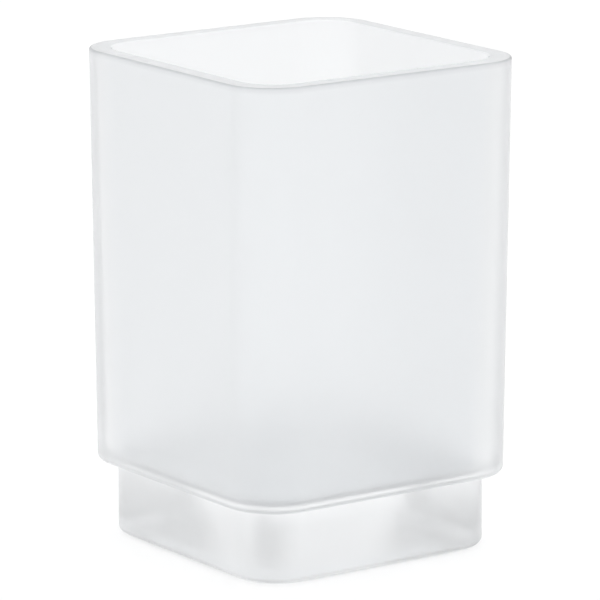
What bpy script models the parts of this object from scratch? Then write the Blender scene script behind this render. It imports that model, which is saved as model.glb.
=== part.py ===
# Satin glass toothbrush tumbler
#
# A square drinking-glass shape pressed in one piece: walls that lean out a little towards the rim,
# rounded upright corners, a thick base, and a smaller square foot under a flat shoulder ledge, so
# that the glass either stands on a shelf or drops into the square ring of a wall holder.
#
# The glass is a loft through rounded squares. Its section is walked once, from the middle of the
# underside, out and up the outside, over the rim and down the inside to the middle of the floor.
# Metres, +Z up, origin at the middle of the face that the glass stands on.

from math import cos, pi, sin

import bmesh
import bpy

# Outside of the body
overall_height = 0.1000
rim_width = 0.0664
outside_lean = 0.0006  # how far each side stands further out at the rim than at the shoulder
rim_corner_radius = 0.0105
shoulder_corner_radius = 0.0111
shoulder_edge_radius = 0.0015

# Foot
foot_height = 0.0151
ledge_depth = 0.0036  # how far the shoulder overhangs the foot, on each side
foot_corner_radius = 0.0089
foot_edge_radius = 0.0015
ledge_cove_radius = 0.0006

# Hollow under the foot, which leaves a ring to stand on
standing_ring_width = 0.0060
underside_hollow_depth = 0.0008
underside_hollow_slope = 0.0030  # across which the hollow reaches its depth

# Inside of the body
rim_wall = 0.0041
floor_wall = 0.0044
mouth_corner_radius = 0.0076
floor_corner_radius = 0.0082
floor_rise = 0.0006  # how far the floor of the cup lies above the ledge
floor_fillet_radius = 0.0025

# Fire-polished edges of the rim
rim_outer_edge_radius = 0.0005
rim_inner_edge_radius = 0.0004

# Fineness of the curves
corner_steps = 14
large_fillet_steps = 8
fillet_steps = 5
edge_steps = 3

glass_colour = (0.90, 0.93, 0.92, 1.0)
glass_roughness = 0.45
glass_ior = 1.50

rim_half = rim_width / 2
shoulder_half = rim_half - outside_lean
foot_half = shoulder_half - ledge_depth
floor_height = foot_height + floor_rise
mouth_half = rim_half - rim_wall
floor_half = shoulder_half - floor_wall


def mix(first, second, share):
    return first + (second - first) * share


def outside_at(height):
    """Half width and corner radius of the drafted outside at a height."""
    share = (height - foot_height) / (overall_height - foot_height)
    return mix(shoulder_half, rim_half, share), mix(shoulder_corner_radius, rim_corner_radius, share)


def inside_at(height):
    """Half width and corner radius of the drafted inside at a height."""
    share = (height - floor_height) / (overall_height - floor_height)
    return mix(floor_half, mouth_half, share), mix(floor_corner_radius, mouth_corner_radius, share)


def rounded_edge(half_width, corner_radius, height, radius, start, end, steps):
    """Sections along a rounded edge.

    half_width and corner_radius are those of the square through the middle of the edge's arc, and
    height is that middle's height. The arc runs from angle start to angle end, counted from
    straight out towards straight up.
    """
    sections = []
    for step in range(steps + 1):
        angle = mix(start, end, step / steps)
        out = radius * cos(angle)
        sections.append((half_width + out, corner_radius + out, height + radius * sin(angle)))
    return sections


def underside_sections():
    """From the hollow under the foot to the flat ring that it stands on."""
    ring_outer = foot_half - foot_edge_radius
    ring_inner = ring_outer - standing_ring_width
    ring_corner = foot_corner_radius - foot_edge_radius
    hollow_half = ring_inner - underside_hollow_slope
    sections = []
    for step in range(fillet_steps + 1):
        share = step / fillet_steps
        depth = underside_hollow_depth * (1 + cos(pi * share)) / 2
        sections.append((mix(hollow_half, ring_inner, share), ring_corner, depth))
    return sections


def foot_sections():
    """The foot's rounded lower edge, its upright side and the cove where it meets the ledge."""
    lower_edge = rounded_edge(foot_half - foot_edge_radius, foot_corner_radius - foot_edge_radius,
                              foot_edge_radius, foot_edge_radius, -pi / 2, 0, fillet_steps)
    cove = rounded_edge(foot_half + ledge_cove_radius, foot_corner_radius + ledge_cove_radius,
                        foot_height - ledge_cove_radius, ledge_cove_radius, pi, pi / 2, edge_steps)
    return lower_edge + cove


def body_sections():
    """The shoulder's rounded lower edge and the drafted outside up to the rim's outer edge."""
    half_width, corner_radius = outside_at(foot_height + shoulder_edge_radius)
    lower_edge = rounded_edge(half_width - shoulder_edge_radius, corner_radius - shoulder_edge_radius,
                              foot_height + shoulder_edge_radius, shoulder_edge_radius, -pi / 2, 0, fillet_steps)
    half_width, corner_radius = outside_at(overall_height - rim_outer_edge_radius)
    upper_edge = rounded_edge(half_width - rim_outer_edge_radius, corner_radius - rim_outer_edge_radius,
                              overall_height - rim_outer_edge_radius, rim_outer_edge_radius, 0, pi / 2, edge_steps)
    return lower_edge + upper_edge


def cavity_sections():
    """The rim's inner edge, the drafted inside and the fillet round the floor."""
    half_width, corner_radius = inside_at(overall_height - rim_inner_edge_radius)
    inner_edge = rounded_edge(half_width + rim_inner_edge_radius, corner_radius + rim_inner_edge_radius,
                              overall_height - rim_inner_edge_radius, rim_inner_edge_radius, pi / 2, pi, edge_steps)
    half_width, corner_radius = inside_at(floor_height + floor_fillet_radius)
    floor_fillet = rounded_edge(half_width - floor_fillet_radius, corner_radius - floor_fillet_radius,
                                floor_height + floor_fillet_radius, floor_fillet_radius, 0, -pi / 2,
                                large_fillet_steps)
    return inner_edge + floor_fillet


def add_rounded_square(mesh, half_width, corner_radius, height):
    """One section of the loft: the vertices of a rounded square, counter-clockwise from above."""
    corner_centre = half_width - corner_radius
    loop = []
    for quarter in range(4):
        turn = quarter * pi / 2
        for step in range(corner_steps + 1):
            angle = step / corner_steps * pi / 2
            x = corner_centre + corner_radius * cos(angle)
            y = corner_centre + corner_radius * sin(angle)
            loop.append(mesh.verts.new((x * cos(turn) - y * sin(turn), x * sin(turn) + y * cos(turn), height)))
    return loop


def loft(name, sections):
    """A closed solid through the sections, with its first and last section filled."""
    mesh = bmesh.new()
    loops = [add_rounded_square(mesh, *section) for section in sections]
    for loop, following in zip(loops, loops[1:]):
        for index in range(len(loop)):
            mesh.faces.new((loop[index - 1], loop[index], following[index], following[index - 1]))
    mesh.faces.new(reversed(loops[0]))
    mesh.faces.new(loops[-1])
    for face in mesh.faces:
        face.smooth = True
    data = bpy.data.meshes.new(name)
    mesh.to_mesh(data)
    mesh.free()
    data.set_sharp_from_angle(angle=pi / 6)
    return bpy.data.objects.new(name, data)


def satin_glass():
    """Clear glass with an etched, evenly dull surface."""
    material = bpy.data.materials.new("satin_glass")
    material.use_nodes = True
    shader = material.node_tree.nodes["Principled BSDF"]
    shader.inputs["Base Color"].default_value = glass_colour
    shader.inputs["Roughness"].default_value = glass_roughness
    shader.inputs["Metallic"].default_value = 0
    shader.inputs["IOR"].default_value = glass_ior
    shader.inputs["Transmission Weight"].default_value = 1
    return material


def glass_tumbler():
    sections = underside_sections() + foot_sections() + body_sections() + cavity_sections()
    tumbler = loft("glass_tumbler", sections)
    tumbler.data.materials.append(satin_glass())
    return tumbler


def main():
    for old in list(bpy.data.objects):
        bpy.data.objects.remove(old)
    parts = bpy.data.collections.new("glass_toothbrush_holder")
    bpy.context.scene.collection.children.link(parts)
    parts.objects.link(glass_tumbler())


main()
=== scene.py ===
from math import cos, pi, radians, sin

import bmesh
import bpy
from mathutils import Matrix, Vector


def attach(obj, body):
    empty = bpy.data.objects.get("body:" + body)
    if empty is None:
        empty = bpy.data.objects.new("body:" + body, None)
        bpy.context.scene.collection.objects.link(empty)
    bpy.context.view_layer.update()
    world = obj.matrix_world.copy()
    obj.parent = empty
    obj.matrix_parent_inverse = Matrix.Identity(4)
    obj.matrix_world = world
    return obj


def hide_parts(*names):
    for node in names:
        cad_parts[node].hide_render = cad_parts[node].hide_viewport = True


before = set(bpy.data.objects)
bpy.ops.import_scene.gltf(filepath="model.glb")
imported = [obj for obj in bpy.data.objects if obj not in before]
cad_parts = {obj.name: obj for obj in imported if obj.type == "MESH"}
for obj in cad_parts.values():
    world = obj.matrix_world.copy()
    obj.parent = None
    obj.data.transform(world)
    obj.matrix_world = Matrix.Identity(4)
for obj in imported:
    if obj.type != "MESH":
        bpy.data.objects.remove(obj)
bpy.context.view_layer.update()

# Satin glass toothbrush tumbler on a white studio floor.
# The tumbler is one pressed piece: a square cup with leaning walls, a thick base and a smaller
# square foot. Lengths are in metres, and it stands on z = 0.

print("frame loaded:", sorted(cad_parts))

# the tumbler
tumbler = {
    "height": 0.1000,
    "rimWidth": 0.0664,
    "lean": 0.0006,  # each side, from the shoulder out to the rim
    "rimCorner": 0.0105,
    "shoulderCorner": 0.0111,
    "shoulderEdge": 0.0015,
    "footHeight": 0.0151,
    "ledge": 0.0036,
    "footCorner": 0.0089,
    "footEdge": 0.0015,
    "cove": 0.0006,
    "standingRing": 0.0060,
    "hollowDepth": 0.0008,
    "hollowSlope": 0.0030,
    "rimWall": 0.0041,
    "floorWall": 0.0044,
    "mouthCorner": 0.0076,
    "floorCorner": 0.0082,
    "floorRise": 0.0006,  # how far the floor of the cup lies above the ledge
    "floorFillet": 0.0025,
    "rimOuterEdge": 0.0005,
    "rimInnerEdge": 0.0004,
    # painted shade: a darker line runs round the rim's outer edge and, fainter, round the foot's
    # lower edge; each pair is a share of the way up the edge and the painted shade's strength
    # there
    "rimPaintedShade": ((0.0, 0.35), (0.5, 1.0), (0.85, 1.0), (1.0, 0.0)),
    "footPaintedShade": ((0.0, 0.35), (0.8, 0.0), (1.0, 0.0)),
    "rimShadeFade": 0.0009,  # how far below the rim's outer edge the painted shade line ends
    "cornerSteps": 48,
    "filletSteps": 24,
    "edgeSteps": 12,
    "wallSteps": 24,
    "footSteps": 6,
    "sharpAngle": 30,  # degrees, over which two faces meet in a crease
}


def mix(first, second, share):
    return first + (second - first) * share


def shadeStrengthAt(line, share):
    # how strong a painted shade line is, at a share of the way up its edge
    for (start, low), (end, high) in zip(line, line[1:]):
        if share <= end:
            break
    return mix(low, high, (share - start) / (end - start))


def roundedEdge(meeting, radius, side, start, end, steps):
    # sections along a rounded edge that meets a wall at the given section. Its centre lies one
    # radius from there, towards the middle (-1) or away from it (1). Angles run from straight
    # out towards straight up.
    halfWidth, corner, height = meeting
    halfWidth += side * radius
    corner += side * radius
    sections = []
    for step in range(steps + 1):
        angle = mix(start, end, step / steps)
        out = radius * cos(angle)
        sections.append((halfWidth + out, corner + out, height + radius * sin(angle)))
    return sections


def between(lower, upper, steps):
    # sections spread evenly from one section to another, both left out
    return [tuple(mix(a, b, step / steps) for a, b in zip(lower, upper))
            for step in range(1, steps)]


def tumblerSections(size):
    # the sections from the underside up the outside, those from the rim down the inside, and how
    # strong the painted shade line is in each
    rimHalf = size["rimWidth"] / 2
    shoulderHalf = rimHalf - size["lean"]
    footHalf = shoulderHalf - size["ledge"]
    floorHeight = size["footHeight"] + size["floorRise"]
    steps = size["edgeSteps"]

    def outside(height):
        share = (height - size["footHeight"]) / (size["height"] - size["footHeight"])
        return (mix(shoulderHalf, rimHalf, share),
                mix(size["shoulderCorner"], size["rimCorner"], share), height)

    def inside(height):
        share = (height - floorHeight) / (size["height"] - floorHeight)
        return (mix(shoulderHalf - size["floorWall"], rimHalf - size["rimWall"], share),
                mix(size["floorCorner"], size["mouthCorner"], share), height)

    # shallow hollow under the foot, inside the ring it stands on
    ringOuter = footHalf - size["footEdge"]
    ringInner = ringOuter - size["standingRing"]
    ringCorner = size["footCorner"] - size["footEdge"]
    underside = []
    for step in range(steps + 1):
        share = step / steps
        halfWidth = mix(ringInner - size["hollowSlope"], ringInner, share)
        depth = size["hollowDepth"] * (1 + cos(pi * share)) / 2
        underside.append((halfWidth, ringCorner, depth))

    footEdge = roundedEdge((footHalf, size["footCorner"], size["footEdge"]),
                           size["footEdge"], -1, -pi / 2, 0, steps)
    cove = roundedEdge((footHalf, size["footCorner"], size["footHeight"] - size["cove"]),
                       size["cove"], 1, pi, pi / 2, steps)
    shoulder = roundedEdge(outside(size["footHeight"] + size["shoulderEdge"]),
                           size["shoulderEdge"], -1, -pi / 2, 0, steps)
    rimStart = size["height"] - size["rimOuterEdge"]
    rimShadeEnd = outside(rimStart - size["rimShadeFade"])
    rimOuter = roundedEdge(outside(rimStart), size["rimOuterEdge"], -1, 0, pi / 2, steps)
    rimInner = roundedEdge(inside(size["height"] - size["rimInnerEdge"]),
                           size["rimInnerEdge"], 1, pi / 2, pi, steps)
    floorFillet = roundedEdge(inside(floorHeight + size["floorFillet"]),
                              size["floorFillet"], -1, 0, -pi / 2, size["filletSteps"])

    outer = underside + footEdge + between(footEdge[-1], cove[0], size["footSteps"]) + cove
    outer += shoulder + between(shoulder[-1], rimShadeEnd, size["wallSteps"]) + [rimShadeEnd] + rimOuter
    inner = rimInner + between(rimInner[-1], floorFillet[0], size["wallSteps"]) + floorFillet
    shadeStrengths = {}
    for sections, line in ((footEdge, size["footPaintedShade"]), (rimOuter, size["rimPaintedShade"])):
        for step, section in enumerate(sections):
            shadeStrengths[section] = shadeStrengthAt(line, step / steps)
    return outer, inner, [shadeStrengths.get(section, 0.0) for section in outer + inner]


def roundedSquare(mesh, halfWidth, corner, height, steps):
    loop = []
    for quarter in range(4):
        turn = quarter * pi / 2
        for step in range(steps + 1):
            angle = step / steps * pi / 2
            x = halfWidth - corner + corner * cos(angle)
            y = halfWidth - corner + corner * sin(angle)
            place = (x * cos(turn) - y * sin(turn), x * sin(turn) + y * cos(turn), height)
            loop.append(mesh.verts.new(place))
    return loop


def addPointValues(data, name, values):
    attribute = data.attributes.new(name, "FLOAT", "POINT")
    attribute.data.foreach_set("value", values)


def makeTumbler(size):
    mesh = bmesh.new()
    outer, inner, shadeStrengths = tumblerSections(size)
    loops = [roundedSquare(mesh, *section, size["cornerSteps"]) for section in outer + inner]
    for loop, following in zip(loops, loops[1:]):
        for index in range(len(loop)):
            mesh.faces.new((loop[index - 1], loop[index], following[index], following[index - 1]))
    mesh.faces.new(reversed(loops[0]))
    mesh.faces.new(loops[-1])
    for face in mesh.faces:
        face.smooth = True
    data = bpy.data.meshes.new("glassTumbler")
    mesh.to_mesh(data)
    mesh.free()
    data.set_sharp_from_angle(angle=radians(size["sharpAngle"]))
    # for the finish: what lies inside the cup, and the painted shade line on the edges
    points = len(loops[0])
    addPointValues(data, "inside", [0.0] * (len(outer) * points) + [1.0] * (len(inner) * points))
    addPointValues(data, "paintedEdgeShade", [value for value in shadeStrengths for index in range(points)])
    piece = bpy.data.objects.new("glassTumbler", data)
    bpy.context.collection.objects.link(piece)
    return piece


def setInputs(tree, node, inputs):
    # an input takes either a value or another node's output
    for key, value in dict(inputs).items():
        if isinstance(value, bpy.types.NodeSocket):
            tree.links.new(value, node.inputs[key])
        else:
            node.inputs[key].default_value = value


def addNode(tree, kind, inputs=(), **settings):
    node = tree.nodes.new(kind)
    for name, value in settings.items():
        setattr(node, name, value)
    setInputs(tree, node, inputs)
    return node


def calculate(tree, operation, *values):
    return addNode(tree, "ShaderNodeMath", enumerate(values), operation=operation).outputs[0]


# its satin glass
satinGlass = {
    "tint": (0.937, 0.947, 0.956, 1.0),
    "edgeShadeTint": (0.50, 0.51, 0.52, 1.0),  # painted shade: the darker line on the rim's outer edge and the foot's lower edge
    "ior": 1.50,
    "roughLow": 0.278,
    "roughHigh": 0.292,
    "roughInside": 0.14,  # how much duller the cup's inside is
    "patchScale": 90.0,  # soft etching patches, about 11 mm across
    "patchDetail": 3,
    "patchRange": (0.3, 0.7),  # of the noise, spread from roughLow to roughHigh
    "grainScale": 5200.0,  # etched grain, about 0.2 mm
    "grainDetail": 2,
    "grainDepth": 0.000004,
    "waveScale": 42.0,  # slow ripple that pressing leaves
    "waveDetail": 1,
    "waveDepth": 0.00003,
}


def makeSatinGlass(values):
    material = bpy.data.materials.new("satinGlass")
    material.use_nodes = True
    tree = material.node_tree
    place = addNode(tree, "ShaderNodeTexCoord").outputs["Object"]

    def noise(name):
        node = addNode(tree, "ShaderNodeTexNoise", {
            "Vector": place, "Scale": values[name + "Scale"], "Detail": values[name + "Detail"]})
        return node.outputs["Fac"]

    # painted shade: the glass colour darkens along the rim's outer edge and the foot's lower edge
    paintedEdgeShade = addNode(tree, "ShaderNodeAttribute", attribute_name="paintedEdgeShade")
    tint = addNode(tree, "ShaderNodeMix", {
        "Factor": paintedEdgeShade.outputs["Fac"], "A": values["tint"], "B": values["edgeShadeTint"],
    }, data_type="RGBA")

    low, high = values["patchRange"]
    patches = addNode(tree, "ShaderNodeMapRange", {
        "Value": noise("patch"), "From Min": low, "From Max": high,
        "To Min": values["roughLow"], "To Max": values["roughHigh"]})
    inside = addNode(tree, "ShaderNodeAttribute", attribute_name="inside")
    roughness = calculate(tree, "MULTIPLY_ADD", inside.outputs["Fac"], values["roughInside"],
                          patches.outputs["Result"])

    wave = addNode(tree, "ShaderNodeBump", {
        "Height": noise("wave"), "Distance": values["waveDepth"]})
    grain = addNode(tree, "ShaderNodeBump", {
        "Height": noise("grain"), "Distance": values["grainDepth"],
        "Normal": wave.outputs["Normal"]})

    setInputs(tree, tree.nodes["Principled BSDF"], {
        "Base Color": tint.outputs["Result"],
        "Roughness": roughness,
        "IOR": values["ior"],
        "Transmission Weight": 1,
        "Normal": grain.outputs["Normal"],
    })
    return material


glassPiece = makeTumbler(tumbler)
glassPiece.data.materials.append(makeSatinGlass(satinGlass))
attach(glassPiece, "root")
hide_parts("glass_tumbler")
print("tumbler made:", len(glassPiece.data.polygons), "faces")

# the camera and the studio
cameraView = {
    "azimuth": 35.454,  # degrees
    "elevation": 12.592,
    "distance": 1.015208,
    "aimAcross": 0.000112,  # to the right of the tumbler's middle
    "aimHeight": 0.049147,
    "lens": 302.266,  # millimetres, for the sensor's width
    "sensorWidth": 36,
    "farEnd": 100,
}

studio = {
    "floorSize": 30.0,
    "floorDrop": 0.0002,
    "floorRoughness": 0.9,
    "floorColour": (0.53, 0.53, 0.53, 1.0),
    # light that the floor adds for the camera, and for what shows in the glass, so that it reads
    # as white paper: all of it from "open" outwards; none of it under the ring that the tumbler
    # stands on, so a painted shadow deepens the real one there; and some under the hollow inside
    # that ring, which paints that shadow lighter
    "floorLift": 0.53,
    "middleLift": 0.30,
    "middleEnd": 0.017,
    "ringStart": 0.021,
    "ringEnd": 0.0240,
    "open": 0.030,
    "squareness": 6,  # even; a higher number gives the painted shadow squarer corners
    "lightColour": (1.0, 1.0, 1.0, 1.0),
    "skyLevel": 0.33,
    "skyAbove": 0.92,  # added straight overhead, and falling to nothing at the horizon
    "backLight": 0.37,  # added by a broad soft light behind the tumbler
    "backLightRise": 20.0,  # degrees over the horizon
    "backLightFocus": 8.0,  # a higher number gathers it into a smaller patch
    "bounces": 24,  # light goes to and fro inside the walls, and none of it may be lost
}


def makeFloor(values):
    half = values["floorSize"] / 2
    corners = [(-half, -half, 0), (half, -half, 0), (half, half, 0), (-half, half, 0)]
    data = bpy.data.meshes.new("studioFloor")
    data.from_pydata(corners, [], [(0, 1, 2, 3)])
    piece = bpy.data.objects.new("studioFloor", data)
    piece.location.z = -values["floorDrop"]
    bpy.context.collection.objects.link(piece)

    material = bpy.data.materials.new("whitePaper")
    material.use_nodes = True
    tree = material.node_tree
    # how far out each point lies, counted so that equal distances make squares with round corners
    place = addNode(tree, "ShaderNodeTexCoord").outputs["Object"]
    axes = addNode(tree, "ShaderNodeSeparateXYZ", {"Vector": place})
    power = values["squareness"]
    sides = [calculate(tree, "POWER", axes.outputs[axis], power) for axis in "XY"]
    away = calculate(tree, "POWER", calculate(tree, "ADD", *sides), 1 / power)
    ramps = []
    # painted shadow: the added light is left out under the foot's standing ring and only partly
    # given under the hollow, so the floor there is darker
    for start, end, low, high in (
            (values["middleEnd"], values["ringStart"], values["middleLift"], 0),
            (values["ringEnd"], values["open"], 0, values["floorLift"])):
        ramp = addNode(tree, "ShaderNodeMapRange", {
            "Value": away, "From Min": start, "From Max": end, "To Min": low, "To Max": high,
        }, interpolation_type="SMOOTHSTEP")
        ramps.append(ramp.outputs["Result"])
    added = calculate(tree, "ADD", *ramps)
    path = addNode(tree, "ShaderNodeLightPath")
    seen = calculate(tree, "MAXIMUM", path.outputs["Is Camera Ray"], path.outputs["Is Glossy Ray"])
    seen = calculate(tree, "MAXIMUM", seen, path.outputs["Is Transmission Ray"])
    setInputs(tree, tree.nodes["Principled BSDF"], {
        "Base Color": values["floorColour"],
        "Roughness": values["floorRoughness"],
        "Specular IOR Level": 0,
        "Emission Color": values["lightColour"],
        "Emission Strength": calculate(tree, "MULTIPLY", seen, added),
    })
    data.materials.append(material)


def makeWorld(values):
    world = bpy.data.worlds.new("studio")
    bpy.context.scene.world = world
    world.use_nodes = True
    tree = world.node_tree
    # brighter overhead, by the height of each direction
    direction = addNode(tree, "ShaderNodeTexCoord").outputs["Generated"]
    axes = addNode(tree, "ShaderNodeSeparateXYZ", {"Vector": direction})
    above = calculate(tree, "MULTIPLY_ADD", axes.outputs["Z"], values["skyAbove"],
                      values["skyLevel"])
    # and brighter round the light behind
    turn = radians(cameraView["azimuth"])
    rise = radians(values["backLightRise"])
    towards = addNode(tree, "ShaderNodeVectorMath", {
        0: direction, 1: (sin(turn) * cos(rise), cos(turn) * cos(rise), sin(rise)),
    }, operation="DOT_PRODUCT").outputs["Value"]
    facing = calculate(tree, "MAXIMUM", towards, 0)
    focus = calculate(tree, "POWER", facing, values["backLightFocus"])
    level = calculate(tree, "MULTIPLY_ADD", focus, values["backLight"], above)
    # the camera sees it white
    path = addNode(tree, "ShaderNodeLightPath")
    setInputs(tree, tree.nodes["Background"], {
        "Color": values["lightColour"],
        "Strength": calculate(tree, "MAXIMUM", level, path.outputs["Is Camera Ray"]),
    })


def makeCamera(values):
    turn = radians(values["azimuth"])
    tilt = radians(values["elevation"])
    across = values["aimAcross"]
    aim = Vector((cos(turn) * across, -sin(turn) * across, values["aimHeight"]))
    back = Vector((-sin(turn) * cos(tilt), -cos(turn) * cos(tilt), sin(tilt)))
    data = bpy.data.cameras.new("camera")
    data.sensor_width = values["sensorWidth"]
    data.lens = values["lens"]
    data.clip_end = values["farEnd"]
    camera = bpy.data.objects.new("camera", data)
    camera.location = aim + back * values["distance"]
    camera.rotation_euler = (-back).to_track_quat("-Z", "Y").to_euler()
    bpy.context.collection.objects.link(camera)
    bpy.context.scene.camera = camera


makeFloor(studio)
makeWorld(studio)
print("studio made")

makeCamera(cameraView)
bpy.context.scene.view_settings.view_transform = "Standard"
cycles = bpy.context.scene.cycles
cycles.max_bounces = cycles.transmission_bounces = studio["bounces"]
cycles.glossy_bounces = cycles.diffuse_bounces = studio["bounces"]
cycles.blur_glossy = 0  # or satin glass loses a fifth of its light
print("camera made")

bpy.context.view_layer.update()
